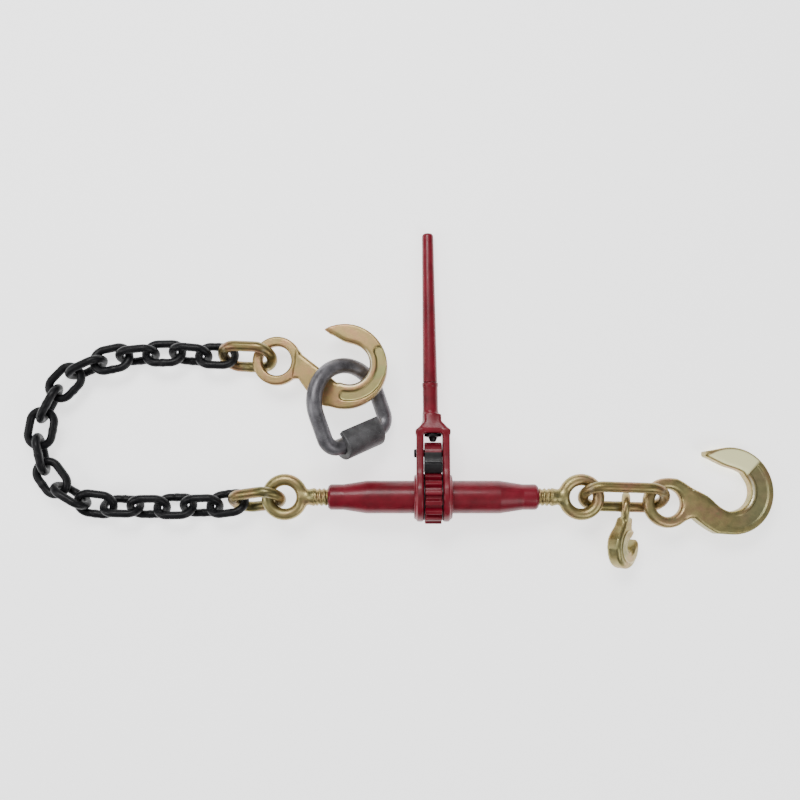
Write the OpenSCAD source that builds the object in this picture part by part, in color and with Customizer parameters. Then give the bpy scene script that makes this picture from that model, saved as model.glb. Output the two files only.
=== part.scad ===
// Ratchet load binder with a tie-down chain, two cargo hooks, a grab hook and a weld-on lashing ring.
// Everything lies slack on the floor, z = 0. X runs along the binder, Y along its lever, Z up.

/* [Barrel] */
// Length of the barrel tube
barrel_length = 235; // [180:1:300]
// Diameter of the thick middle of the barrel
barrel_d = 36.8; // [30:0.1:44]
// Diameter of the two slim ends of the barrel
barrel_end_d = 28.7; // [24:0.1:34]
// Length of each slim end
barrel_end_length = 17; // [10:1:30]
// Length of each cone between a slim end and the thick middle
barrel_taper = 26; // [15:1:40]
// Height of the barrel axis over the floor
axis_height = 30.6; // [30:0.1:40]

/* [Ratchet] */
// Number of teeth on the ratchet wheel
teeth = 16; // [12:1:24]
// Diameter over the teeth
wheel_d = 60.4; // [50:0.1:70]
// Width of the wheel
wheel_width = 18.5; // [14:0.5:24]
// Depth of the tooth gaps
tooth_depth = 5.6; // [3:0.1:8]

/* [Screws] */
// Major diameter of the screws
screw_d = 20; // [16:0.5:24]
// Distance from the barrel centre to each eye centre
eye_reach = 166.5; // [150:0.5:190]
// Mean radius of the screw eye
eye_ring_r = 19.5; // [15:0.5:25]
// Rod radius of the screw eye
eye_rod_r = 6.6; // [5:0.1:8]
// Length of thread inside each mouth of the barrel
thread_length = 30; // [20:1:40]

/* [Lever] */
// Distance from the barrel axis to the tip of the handle
lever_length = 300.6; // [250:0.1:350]
// Width over the two fork arms
fork_width = 37.5; // [34:0.5:48]
// Inside width of the fork
fork_gap = 21.3; // [20:0.1:26]
// Radius of the two hub rings that turn on the barrel
hub_r = 27.5; // [24:0.5:29.5]
// Droop of the lever from level, so that its tip meets the floor
lever_droop = 4.5; // [0:0.1:8]
// Distance from the barrel axis to the pawl pin
pawl_reach = 49; // [44:0.5:56]

/* [Chain] */
// Rod diameter of the chain links
chain_rod = 9.3; // [7:0.1:11]
// Inside length of a chain link
chain_pitch = 31.7; // [24:0.5:36]
// Outside width of a chain link
chain_width = 35.5; // [28:0.5:38]
// Heading of each link as the chain lies, counted from the binder
headings = [188, 182, 181, 180, 178, 172, 149, 126, 102, 79, 62, 46, 25, 12, 6, 1, -5, -2];
// Roll of each link about its own length, counted from the binder
rolls = [40, -45, 45, -42, 58, -25, 80, 0, 97, 5, 95, 0, 76, -20, 62, -33, 55, -36];

/* [Gold fittings] */
// Rod diameter of the coupling links
link_rod = 12; // [10:0.1:14]
// Inside length of the two short coupling links
short_pitch = 45; // [36:0.5:48]
// Inside length of the long coupling link
long_pitch = 79; // [70:0.5:90]
// Outside width of the coupling links
link_width = 47; // [42:0.5:52]
// Outside width of the long coupling link
long_width = 51; // [44:0.5:56]
// Thickness of the big hook
big_hook_t = 17; // [14:0.5:22]
// Thickness of the grab hook's body
grab_hook_t = 18.5; // [14:0.5:22]
// Thickness of the hook at the end of the chain
end_hook_t = 14; // [12:0.5:20]

/* [Lashing ring] */
// Rod diameter of the lashing ring
ring_rod = 17.4; // [14:0.1:20]
// Mean radius of its bow
ring_bow_r = 42.5; // [32:0.5:48]
// Height of the bow's centre over the straight side
ring_height = 42; // [36:0.5:52]
// Mean radius of its two lower corners
ring_corner_r = 15; // [13:0.5:20]
// Length of the weld-on clip
clip_length = 51; // [40:1:60]
// Wall thickness of the clip
clip_wall = 7; // [4:0.5:8]

/* [Hidden] */
$fn = 64;
play = 1.6;
grab_eye_r = 13;
grab_eye_rod_r = 4.5;
grab_twist = -30;
binder = [37.1, -109, axis_height];
wall_gap = 0.1;
washer_t = 1.2;
washer_r = 26;
stop_at = 12;
stop_pin_r = 2.5;
bore_relief = 2.2;
pawl_width = 19.4;
pin_r = 4;
window_top = 71.4;
pawl_throw = 9;
socket_end = 128.8;
handle_lean = 0.8;
handle_offset = -1.2;
plunger_flange = 3.6;
chain_count = len(headings);

// Half the outside width of a link less half its rod: the mean radius of its ends.
function bend_r(width, rod) = (width - rod) / 2;
function heading_dir(h) = [cos(h), sin(h), 0];
// Height of a link's centre when its lower leg lies on the floor.
function rest_height(roll) = bend_r(chain_width, chain_rod) * abs(sin(roll)) + chain_rod / 2 + 0.3;
function joint_height(i) =
    i <= 0 ? chain_start.z :
    i >= chain_count ? 15.5 :
    max(rest_height(rolls[i - 1]), rest_height(rolls[i]));
// Where two links touch: joint 0 is at the coupling link and each chain link spans one joint to the next.
function joint_xy(i) =
    i == 0 ? [chain_start.x, chain_start.y, 0] :
    joint_xy(i - 1) + span(i - 1) * heading_dir(headings[i - 1]);
function span(i) =
    sqrt(pow(chain_pitch - play, 2) - pow(joint_height(i + 1) - joint_height(i), 2));
function joint_at(i) = joint_xy(i) + [0, 0, joint_height(i)];
// Place of a link that lies between two points: its centre, roll, pitch and heading.
function between(a, b, roll) =
    let (d = b - a)
    [(a + b) / 2, [roll, -asin(d.z / norm(d)), atan2(d.y, d.x)]];

chain_start = [-181.6, -115.8, 17.2];
left_place = [[-161.5, -112.3, 25.4], [-58.2, 21.5, -170.4]];
chain_places = [for (i = [0:chain_count - 1]) between(joint_at(i), joint_at(i + 1), rolls[i])];
upper_place = [[-172.7, 49, 21.6], [50.6, -9.6, -2.9]];

right_place = [[251.2, -109.1, 31], [50.5, 0.5, -1.8]];

end_eye_hole_r = 16.6;
end_hook_place = [[-138.7, 43.9, 24.7], [-4.2, -3.7, -4.8]];
big_eye_hole_r = 15.5;
big_hook_place = [[300.9, -116, 27.4], [-6.2, 7.7, 9.6]];
grab_place = [[256.5, -121.9, 17.6], [-48.1, -5.4, -94]];
ring_tilt = [7.1, 35.9, 23];
ring_origin = [-59.2, -3.7, 36.7];
clip_roll = -22;

function chain_name(i) = str("chain_link_", i < 9 ? "0" : "", i + 1);

red = [0.56, 0.11, 0.18];
gold = [0.76, 0.68, 0.43];
black = [0.07, 0.07, 0.08];
gunmetal = [0.27, 0.26, 0.28];
steel = [0.6, 0.6, 0.6];

module put(place) {
    translate(place[0]) rotate(place[1]) children();
}

// Lays a shape that was drawn along Z along X instead.
module along_x() {
    rotate([0, 90, 0]) children();
}

// The lever's own frame: barrel axis at the origin, handle along +Y.
module on_lever() {
    translate(binder) rotate([-lever_droop, 0, 0]) children();
}

// A closed oval link of round rod in the XY plane, long way along X.
module oval_link(inside, width, rod) {
    r = bend_r(width, rod);
    half = inside / 2 + rod / 2 - r;
    for (side = [0, 180]) {
        rotate(side) {
            translate([half, 0, 0]) rotate(-90)
                rotate_extrude(angle = 180) translate([r, 0]) circle(d = rod);
            translate([-half, r, 0]) along_x() cylinder(h = 2 * half, d = rod);
        }
    }
}

module washer(side) {
    color(steel) translate(binder + [side * (wheel_width / 2 + 0.15), 0, 0]) along_x()
        translate([0, 0, side < 0 ? -washer_t : 0]) difference() {
            cylinder(h = washer_t, r = washer_r);
            translate([0, 0, -1]) cylinder(h = washer_t + 2, r = barrel_d / 2 + wall_gap);
        }
}

module barrel() {
    half = barrel_length / 2;
    mouth = half - thread_length;
    color(red) translate(binder) along_x() difference() {
        rotate_extrude() polygon([
            [0, -half], [barrel_end_d / 2 - 1.5, -half], [barrel_end_d / 2, -half + 1.5],
            [barrel_end_d / 2, -half + barrel_end_length],
            [barrel_d / 2, -half + barrel_end_length + barrel_taper],
            [barrel_d / 2, half - barrel_end_length - barrel_taper],
            [barrel_end_d / 2, half - barrel_end_length],
            [barrel_end_d / 2, half - 3], [barrel_end_d / 2 - 2.5, half], [0, half]
        ]);
        translate([0, 0, -half - 1]) cylinder(h = barrel_length + 2, r = screw_d / 2 + wall_gap);
        translate([0, 0, -mouth]) cylinder(h = 2 * mouth, r = screw_d / 2 + bore_relief);
    }
}

// One tooth gap is centred on +Y in the lever's frame, so that the pawl's noses meet gaps.
module ratchet_wheel() {
    tip_r = wheel_d / 2;
    root_r = tip_r - tooth_depth;
    color(red) on_lever() along_x() difference() {
        cylinder(h = wheel_width, r = tip_r, center = true);
        cylinder(h = wheel_width + 2, r = barrel_d / 2 + 0.05, center = true);
        for (i = [0:teeth - 1]) rotate(i * 360 / teeth) linear_extrude(wheel_width + 2, center = true)
            polygon([[-1.6, root_r], [1.6, root_r], [3.9, tip_r + 1], [-3.9, tip_r + 1]]);
    }
}

// An eye bolt that points along +X from the inner end of its screw to its eye.
module eye_bolt() {
    screw_end = stop_at - 6;
    shoulder = eye_reach - 32;
    neck_length = 12.2;
    color(gold) difference() {
        union() {
            translate([eye_reach, 0, 0]) rotate_extrude() translate([eye_ring_r, 0]) circle(r = eye_rod_r);
            translate([shoulder, 0, 0]) along_x()
                cylinder(h = neck_length, r1 = screw_d / 2, r2 = eye_rod_r - 0.3);
            translate([screw_end, 0, 0]) along_x()
                cylinder(h = shoulder - screw_end + 0.2, r = screw_d / 2);
        }
        translate([stop_at, 0, 0]) cylinder(h = screw_d + 10, r = stop_pin_r, center = true);
    }
}

module stop_pin() {
    color(steel) translate([stop_at, 0, 0])
        cylinder(h = screw_d + 3.6, r = stop_pin_r, center = true);
}

module screw_side(side) {
    translate(binder) rotate(side > 0 ? 0 : 180) children();
}

module lever_fork() {
    arm_t = (fork_width - fork_gap) / 2;
    color(red) on_lever() difference() {
        union() {
            for (side = [0, 1]) mirror([side, 0, 0]) {
                translate([fork_gap / 2, 0, 0]) along_x() cylinder(h = arm_t, r = hub_r);
                translate([fork_width / 2, 0, 0]) along_x() cylinder(h = 2.8, r1 = hub_r, r2 = hub_r - 4);
                translate([fork_gap / 2, 0, 0]) along_x() linear_extrude(arm_t)
                    polygon([[20, 12], [-20, 12], [-15, 46], [-13, window_top + 4],
                        [13, window_top + 4], [15, 46]]);
            }
            intersection() {
                translate([0, 0, -13]) linear_extrude(26) polygon([
                    [-fork_width / 2, window_top], [fork_width / 2, window_top],
                    [fork_width / 2, window_top + 4], [9.5, window_top + 14], [9.3, window_top + 22],
                    [-9.3, window_top + 22], [-9.5, window_top + 14], [-fork_width / 2, window_top + 4]
                ]);
                along_x() linear_extrude(fork_width, center = true) polygon([
                    [-13, window_top - 1], [-13, window_top + 6], [-9.3, window_top + 20],
                    [-9.3, window_top + 23], [9.3, window_top + 23], [9.3, window_top + 20],
                    [13, window_top + 6], [13, window_top - 1]
                ]);
            }
            translate([handle_offset, 0, 0]) rotate([-90, 0, handle_lean]) translate([0, 0, window_top + 12])
                cylinder(h = socket_end - window_top - 12, r = 9.3);
        }
        along_x() cylinder(h = 60, r = barrel_d / 2 + wall_gap, center = true);
        translate([0, pawl_reach, 0]) along_x() cylinder(h = 60, r = pin_r, center = true);
        translate([0, window_top - 0.1, 0]) rotate([-90, 0, 0]) cylinder(h = 2.4, r = 9.9);
        translate([0, window_top, 0]) rotate([-90, 0, 0]) cylinder(h = 42, r = 4.6);
        translate([handle_offset, 0, 0]) rotate([-90, 0, handle_lean]) translate([0, 0, socket_end - 13])
            cylinder(h = 14, r = 6);
    }
}

module handle() {
    color(red) on_lever() translate([handle_offset, 0, 0]) rotate([-90, 0, handle_lean]) {
        translate([0, 0, socket_end - 12]) cylinder(h = 13, r = 5.95);
        translate([0, 0, socket_end + 0.1])
            cylinder(h = lever_length - socket_end - 2.1, r1 = 8.2, r2 = 6.4);
        translate([0, 0, lever_length - 2]) cylinder(h = 2, r1 = 6.4, r2 = 4.6);
    }
}

// A nose sits square in the gap one pitch off centre when the pawl has rocked by its full throw.
module pawl_nose() {
    depth = wheel_d / 2 - 2.7;
    translate([0, pawl_reach]) rotate(pawl_throw) translate([0, -pawl_reach]) rotate(-360 / teeth)
        polygon([[-1, depth], [1, depth], [2.9, depth + 6], [4, depth + 11], [-4, depth + 11],
            [-2.9, depth + 6]]);
}

// A rocking pawl with two noses: upright is neutral, and a rock either way drops one nose in.
module pawl() {
    color(black) on_lever() along_x() difference() {
        union() {
            linear_extrude(pawl_width, center = true) difference() {
                union() {
                    translate([0, pawl_reach]) circle(r = 12.5);
                    polygon([[-11, pawl_reach + 4], [-17.5, 40], [-17, 36], [-11, 29], [11, 29], [17, 36],
                        [17.5, 40], [11, pawl_reach + 4]]);
                }
                circle(r = wheel_d / 2 + 4, $fn = 128);
                for (lean = [-24, 0, 24])
                    translate([0, pawl_reach]) rotate(lean) translate([0, 15.6]) circle(r = 3.6);
            }
            for (side = [0, 1]) mirror([side, 0, 0])
                linear_extrude(pawl_width, center = true) pawl_nose();
        }
        translate([0, pawl_reach, 0]) cylinder(h = pawl_width + 2, r = pin_r + wall_gap, center = true);
    }
}

module pawl_pin() {
    color(black) on_lever() translate([0, pawl_reach, 0]) along_x() {
        translate([0, 0, -fork_width / 2 - 1]) cylinder(h = fork_width + 1, r = pin_r - 0.02);
        translate([0, 0, -fork_width / 2 - 2.8]) cylinder(h = 2.7, r = 4.8);
    }
}

module plunger() {
    nose_at = pawl_reach + 12.8;
    flange_at = window_top - plunger_flange;
    color(black) on_lever() rotate([-90, 0, 0]) rotate_extrude() polygon([
        [0, nose_at], [2, nose_at], [3.4, nose_at + 0.8], [5, flange_at - 1], [9.7, flange_at],
        [9.7, window_top - 0.1], [4.5, window_top - 0.1], [4.5, window_top + 12], [0, window_top + 12]
    ]);
}

// The plunger's spring, drawn close wound.
module plunger_spring() {
    color(steel) on_lever() translate([0, window_top + 13.2, 0]) rotate([-90, 0, 0])
        rotate_extrude() for (i = [0:11]) translate([3.3, i * 1.9]) circle(r = 1.05, $fn = 24);
}

module coupling_link(place, inside, width) {
    color(gold) put(place) oval_link(inside, width, link_rod);
}

module chain_link(i) {
    color(black) put(chain_places[i]) oval_link(chain_pitch, chain_width, chain_rod);
}

// A flat forged hook: eye at the origin, bowl out along +X, opening towards +Y.
module cargo_hook(t, eye_r, hole_r, eye_t, bowl, bowl_r, throat, throat_r, gap, shank, tip, panel) {
    bevel = 3.4;
    difference() {
        union() {
            cylinder(h = eye_t, r = eye_r, center = true);
            linear_extrude(t, center = true) difference() {
                union() {
                    translate(bowl) circle(r = bowl_r, $fn = 128);
                    polygon(shank);
                    polygon(tip);
                }
                circle(r = hole_r + 4);
                polygon(gap);
                translate(throat) circle(r = throat_r);
            }
        }
        cylinder(h = t + 2, r = hole_r, center = true);
        for (up = [0, 1]) mirror([0, 0, up]) {
            translate([throat.x, throat.y, t / 2 - bevel])
                cylinder(h = bevel + 0.1, r1 = throat_r, r2 = throat_r + bevel);
            translate([0, 0, eye_t / 2 - 2]) cylinder(h = 2.1, r1 = hole_r, r2 = hole_r + 2.1);
            translate([bowl.x, bowl.y, t / 2 - 1.4]) intersection() {
                difference() {
                    cylinder(h = 2, r = bowl_r - 5);
                    translate([0, 0, -1]) cylinder(h = 4, r = throat_r + panel);
                }
                linear_extrude(2) polygon([[0, 0], [60, 60], [80, -10], [40, -70], [-30, -60]]);
            }
        }
    }
}

module hook_big() {
    color(gold) put(big_hook_place) cargo_hook(
        big_hook_t, 28, big_eye_hole_r, 13, [76, 0], 49.3, [76.5, 0], 22.6,
        [[91.5, 16.4], [44, 51.3], [24, 62], [5, 36], [21.8, 21.7], [69.9, -18.2], [82, -4]],
        [[12, 26.5], [22.3, 21.2], [69.9, -18.2], [80, -30], [49.1, -40.3], [26.6, -21.8], [18, -20]],
        [[54.5, 43.8], [55.5, 48.8], [67.4, 48.5], [76, 30]], 16
    );
}

module hook_end() {
    color(gold) put(end_hook_place) cargo_hook(
        end_hook_t, 27.5, end_eye_hole_r, 11.5, [77, 0], 47.9, [82.5, 3], 22.6,
        [[89.6, 20.3], [46, 41.4], [30, 50], [20, 30], [27.3, 9.9], [53.6, -7], [70, -17.5], [86, -4]],
        [[21, 16], [27.3, 9.9], [53.6, -7], [72, -18], [57.8, -42.9], [36.5, -26.7], [26.7, -17.7],
            [19, -19]],
        [[53, 38], [62, 43], [82, 30]], 14
    );
}

// The grab hook's slot takes a chain link on edge and stops the next one.
module hook_grab() {
    color(gold) put(grab_place) {
        union() {
            rotate([grab_twist, 0, 0])
                rotate_extrude() translate([grab_eye_r, 0]) circle(r = grab_eye_rod_r);
            linear_extrude(grab_hook_t, center = true) difference() {
                union() {
                    translate([46, -2]) circle(r = 23);
                    polygon([[12, -9], [12, 9], [22, 7], [33, 2], [46, 10], [46, -24], [36, -24], [22, -14]]);
                }
                circle(r = 13);
                translate([43, 2]) circle(r = 6);
                translate([43, 2]) rotate(132) translate([0, -5.5]) square([40, 11]);
            }
        }
    }
}

// A bow and a straight side joined by two corners. The clip turns on the straight side, at y = -ring_height.
module lashing_ring() {
    side_h = ring_height - ring_corner_r;
    flat = 2 * (ring_bow_r - ring_corner_r);
    color(gunmetal) translate(ring_origin) rotate(ring_tilt) {
        rotate_extrude(angle = 180) translate([ring_bow_r, 0]) circle(d = ring_rod);
        for (side = [0, 1]) mirror([side, 0, 0]) {
            translate([ring_bow_r, 0, 0]) rotate([90, 0, 0]) cylinder(h = side_h, d = ring_rod);
            translate([ring_bow_r - ring_corner_r, -side_h, 0]) rotate(-90)
                rotate_extrude(angle = 90) translate([ring_corner_r, 0]) circle(d = ring_rod);
        }
        translate([-flat / 2, -ring_height, 0]) along_x() cylinder(h = flat, d = ring_rod);
    }
}

module ring_clip() {
    inner = ring_rod / 2 + 0.4;
    outer = inner + clip_wall;
    foot = 12;
    color(gunmetal) translate(ring_origin) rotate(ring_tilt) translate([0, -ring_height, 0])
        rotate([clip_roll, 0, 0]) along_x() linear_extrude(clip_length, center = true) difference() {
            union() {
                circle(r = outer);
                translate([0, -outer]) square([foot, 2 * outer]);
            }
            circle(r = inner);
            translate([0, -inner]) square([foot + 1, 2 * inner]);
        }
}

washer(-1);  // washer_left
washer(1);  // washer_right
barrel();
ratchet_wheel();
screw_side(-1) eye_bolt();  // screw_left
screw_side(1) eye_bolt();  // screw_right
screw_side(-1) stop_pin();  // stop_pin_left
screw_side(1) stop_pin();  // stop_pin_right
lever_fork();
handle();
pawl();
pawl_pin();
plunger();
plunger_spring();
coupling_link(left_place, short_pitch, link_width);  // link_left
for (i = [0:chain_count - 1]) chain_link(i);
coupling_link(upper_place, short_pitch, link_width);  // link_upper
hook_end();
lashing_ring();
ring_clip();
coupling_link(right_place, long_pitch, long_width);  // link_long
hook_grab();
hook_big();
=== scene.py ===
import math

import bpy
import numpy as np
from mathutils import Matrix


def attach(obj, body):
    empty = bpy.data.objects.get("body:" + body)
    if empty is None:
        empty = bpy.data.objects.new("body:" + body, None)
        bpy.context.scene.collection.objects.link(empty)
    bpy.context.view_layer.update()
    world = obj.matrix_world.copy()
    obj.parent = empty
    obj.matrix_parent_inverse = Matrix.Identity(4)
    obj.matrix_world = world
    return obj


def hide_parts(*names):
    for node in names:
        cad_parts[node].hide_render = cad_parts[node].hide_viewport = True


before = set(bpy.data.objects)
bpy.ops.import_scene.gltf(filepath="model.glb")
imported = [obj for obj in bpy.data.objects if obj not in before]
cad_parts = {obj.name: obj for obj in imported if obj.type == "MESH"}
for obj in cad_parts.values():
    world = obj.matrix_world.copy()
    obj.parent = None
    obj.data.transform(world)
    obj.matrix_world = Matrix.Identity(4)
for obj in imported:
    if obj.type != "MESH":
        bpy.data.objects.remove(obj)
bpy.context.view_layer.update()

# Shapes are worked out in millimetres, with angles in degrees, and turned to metres when a mesh is made.
MM = 0.001

# Binder: its middle, the lever's lean towards the floor, and the turned and cast parts.
BINDER = (37.1, -109.0, 30.6)
DROOP = -4.5
WHEEL_D, WHEEL_W, TEETH, TOOTH_DEPTH = 60.4, 18.5, 16, 5.6
BARREL_D, BARREL_L, BARREL_END_D = 36.8, 235.0, 28.7
BARREL_SLIM, BARREL_CONE, BARREL_THREADED = 17.0, 26.0, 30.0
FORK_W, FORK_GAP, HUB_R = 37.5, 21.3, 27.5
PAWL_REACH, PAWL_THROW, PAWL_W = 49.0, 9.0, 19.4
WINDOW_TOP, SOCKET_END = 71.4, 128.8
HANDLE_X, HANDLE_LEAN, LEVER_L = -1.2, 0.8, 300.6
EYE_REACH, EYE_R, EYE_ROD = 166.5, 19.5, 6.6
SCREW_R, THREAD_LEAD = 10.0, 5.0
STOP_PIN_AT, STOP_PIN_R, STOP_PIN_HALF = 12.0, 2.5, 11.8
WASHER_IN_R, WASHER_OUT_R, WASHER_T = 18.5, 26.0, 1.2

# Links: inside length, outside width, rod.
CHAIN_COUNT = 18
CHAIN_LINK = (31.7, 35.5, 9.3)
SHORT_LINK = (45.0, 47.0, 12.0)
LONG_LINK = (79.0, 51.0, 12.0)
ROD_SIDES = 28

# Lashing ring and its clip.
RING_ORIGIN, RING_TILT = (-59.2, -3.7, 36.7), (7.1, 35.9, 23.0)
RING_ROD, RING_BOW, RING_H, RING_CORNER = 17.4, 42.5, 42.0, 15.0
CLIP_L, CLIP_WALL, CLIP_FOOT, CLIP_ROLL = 51.0, 7.0, 12.0, -22.0

# Hooks: each one's eye, then its roll, pitch and heading.
BIG_HOOK = ((300.9, -116.0, 27.4), (-6.2, 7.7, 9.6))
END_HOOK = ((-138.7, 43.9, 24.7), (-4.2, -3.7, -4.8))
GRAB_HOOK = ((256.5, -121.9, 17.6), (-48.1, -5.4, -94.0))
GRAB_TWIST = -30.0
BIG_THROAT, BIG_BOWL, BIG_BOWL_R = (76.5, 0), (76, 0), 49.3
END_THROAT, END_BOWL, END_BOWL_R = (82.5, 3), (77, 0), 47.9
HOOK_THROAT_R = 22.6


# ---------------------------------------------------------------- placing
def turn(roll, pitch, heading):
    """Roll about X, then pitch about Y, then heading about Z, in degrees."""
    a, b, c = (math.radians(v) for v in (roll, pitch, heading))
    rx = np.array([[1, 0, 0], [0, math.cos(a), -math.sin(a)], [0, math.sin(a), math.cos(a)]])
    ry = np.array([[math.cos(b), 0, math.sin(b)], [0, 1, 0], [-math.sin(b), 0, math.cos(b)]])
    rz = np.array([[math.cos(c), -math.sin(c), 0], [math.sin(c), math.cos(c), 0], [0, 0, 1]])
    return rz @ ry @ rx


def placed(points, origin, rotation=np.eye(3)):
    """Points of a shape's own frame, turned and moved into the shared one."""
    return np.asarray(points, float) @ rotation.T + np.asarray(origin, float)


def link_frame(node):
    """Centre and axes of a closed link, from the moments of its own solid: long way, width, thickness."""
    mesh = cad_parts[node].data
    mesh.calc_loop_triangles()
    co = np.array([v.co for v in mesh.vertices], float) / MM
    middle = co.mean(0)
    t = co[np.array([tri.vertices for tri in mesh.loop_triangles])] - middle
    volume = np.einsum("ij,ij->i", t[:, 0], np.cross(t[:, 1], t[:, 2])) / 6
    total = volume.sum()
    centre = (volume[:, None] * t.sum(1) / 4).sum(0) / total
    sums = t.sum(1)
    second = np.einsum("n,nij->ij", volume / 20,
                       np.einsum("nki,nkj->nij", t, t) + np.einsum("ni,nj->nij", sums, sums))
    _, axes = np.linalg.eigh(second / total - np.outer(centre, centre))
    rotation = axes[:, ::-1]
    if np.linalg.det(rotation) < 0:
        rotation[:, 2] *= -1
    return centre + middle, rotation


# ---------------------------------------------------------------- meshes
def new_piece(name, points, faces, body, material, nodes, marks=None):
    """A smooth-shaded mesh that rides on a body and stands for CAD nodes."""
    points = np.asarray(points, float)
    corner = np.array([f[:3] for f in faces])
    a, b, c = (points[corner[:, n]] - points[0] for n in range(3))
    if np.einsum("ij,ij->", a, np.cross(b, c)) < 0:
        faces = [f[::-1] for f in faces]
    mesh = bpy.data.meshes.new(name)
    mesh.from_pydata((points * MM).tolist(), [], [list(map(int, f)) for f in faces])
    mesh.polygons.foreach_set("use_smooth", [True] * len(mesh.polygons))
    tint = np.ones((len(mesh.vertices), 4), np.float32)
    tint[:, :3] = 0 if marks is None else marks
    layer = mesh.color_attributes.new("marks", "FLOAT_COLOR", "POINT")
    layer.data.foreach_set("color", tint.ravel())
    mesh.materials.append(material)
    mesh.update()
    piece = bpy.data.objects.new(name, mesh)
    bpy.context.scene.collection.objects.link(piece)
    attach(piece, body)
    if nodes:
        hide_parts(*nodes)


def grid_faces(rows, columns, close_rows):
    """Quads of a tube of rows by columns points, closed round its columns."""
    i = np.arange(rows if close_rows else rows - 1)
    j = np.arange(columns)
    a, b = np.meshgrid(i, j, indexing="ij")
    a2, b2 = (a + 1) % rows, (b + 1) % columns
    corners = [a * columns + b, a2 * columns + b, a2 * columns + b2, a * columns + b2]
    return np.stack(corners, -1).reshape(-1, 4)


def tube(path, radius, sides=ROD_SIDES, closed=True):
    """A round rod along a path. Its radius may change from point to point."""
    path = np.asarray(path, float)
    n = len(path)
    radius = np.broadcast_to(radius, (n,))
    ahead = (np.roll(path, -1, 0) - np.roll(path, 1, 0)) if closed else np.gradient(path, axis=0)
    ahead /= np.linalg.norm(ahead, axis=1)[:, None]
    side = np.cross(ahead[0], [0.0, 0.0, 1.0] if abs(ahead[0][2]) < 0.9 else [1.0, 0.0, 0.0])
    a = np.linspace(0, 2 * math.pi, sides, endpoint=False)
    points = []
    for p, d, r in zip(path, ahead, radius):
        side = side - d * np.dot(side, d)
        side /= np.linalg.norm(side)
        up = np.cross(d, side)
        points.append(p + r * (np.cos(a)[:, None] * side + np.sin(a)[:, None] * up))
    points = np.concatenate(points)
    faces = grid_faces(n, sides, closed).tolist()
    if not closed:
        faces += [list(range(sides))[::-1], [(n - 1) * sides + k for k in range(sides)]]
    return points, faces


def rounded(profile, radius, steps=6):
    """Each corner of an open outline becomes an arc of about that radius."""
    p = [np.asarray(v, float) for v in profile]
    out = [p[0]]
    for before, corner, after in zip(p, p[1:], p[2:]):
        u, v = before - corner, after - corner
        lu, lv = np.linalg.norm(u), np.linalg.norm(v)
        u, v = u / lu, v / lv
        half = math.acos(max(-1.0, min(1.0, float(u @ v)))) / 2
        back = min(radius / max(math.tan(half), 0.05), 0.45 * lu, 0.45 * lv)
        a, b = corner + u * back, corner + v * back
        for s in np.linspace(0, 1, steps):
            out.append((1 - s) ** 2 * a + 2 * s * (1 - s) * corner + s * s * b)
    return np.array(out + [p[-1]])


def lathe(profile, sides):
    """Turns an outline of (radius, height) points round Z. One that ends where it starts gives a ring."""
    profile = np.asarray(profile, float)
    a = np.linspace(0, 2 * math.pi, sides, endpoint=False)
    points = np.stack([profile[:, :1] * np.cos(a), profile[:, :1] * np.sin(a),
                       np.repeat(profile[:, 1:], sides, 1)], -1).reshape(-1, 3)
    faces = grid_faces(len(profile), sides, False)[:, ::-1].tolist()
    return points, faces


def along_x(points):
    """A lathed shape laid down, so that its axis is X."""
    p = np.asarray(points, float)
    return np.stack([p[:, 2], p[:, 1], -p[:, 0]], -1)


# ---------------------------------------------------------------- solids from distances
def disc(x, y, centre, r):
    """Signed distance to a disc, negative inside."""
    return np.hypot(x - centre[0], y - centre[1]) - r


def polygon(x, y, corners):
    """Signed distance to a polygon, negative inside."""
    inside = np.zeros(np.broadcast(x, y).shape, bool)
    best = np.full(inside.shape, np.inf)
    for (ax, ay), (bx, by) in zip(corners, corners[1:] + corners[:1]):
        ex, ey = bx - ax, by - ay
        wx, wy = x - ax, y - ay
        t = np.clip((wx * ex + wy * ey) / (ex * ex + ey * ey), 0, 1)
        best = np.minimum(best, (wx - ex * t) ** 2 + (wy - ey * t) ** 2)
        if ay != by:
            crosses = ((ay > y) != (by > y)) & (x < ax + ex * (y - ay) / ey)
            inside ^= crosses
    return np.where(inside, -1.0, 1.0) * np.sqrt(best)


def join(a, b, k):
    """Union with a fillet of size k."""
    h = np.maximum(k - np.abs(a - b), 0) / k
    return np.minimum(a, b) - h * h * k / 4


def cut(a, b, k):
    """a with b taken away, the edge softened by k."""
    return -join(-a, b, k)


def plate(flat, height, half, r):
    """A flat outline made into a plate of that half thickness, its edges rounded by r."""
    u, v = flat + r, np.abs(height) - half + r
    return np.minimum(np.maximum(u, v), 0) + np.hypot(np.maximum(u, 0), np.maximum(v, 0)) - r


def ramp(x, low, high):
    """Smooth step from 0 at low to 1 at high."""
    t = np.clip((x - low) / (high - low), 0, 1)
    return t * t * (3 - 2 * t)


CORNERS = [(i, j, k) for i in (0, 1) for j in (0, 1) for k in (0, 1)]
EDGES = [(a, b) for a in range(8) for b in range(a + 1, 8)
         if sum(abs(p - q) for p, q in zip(CORNERS[a], CORNERS[b])) == 1]


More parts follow.
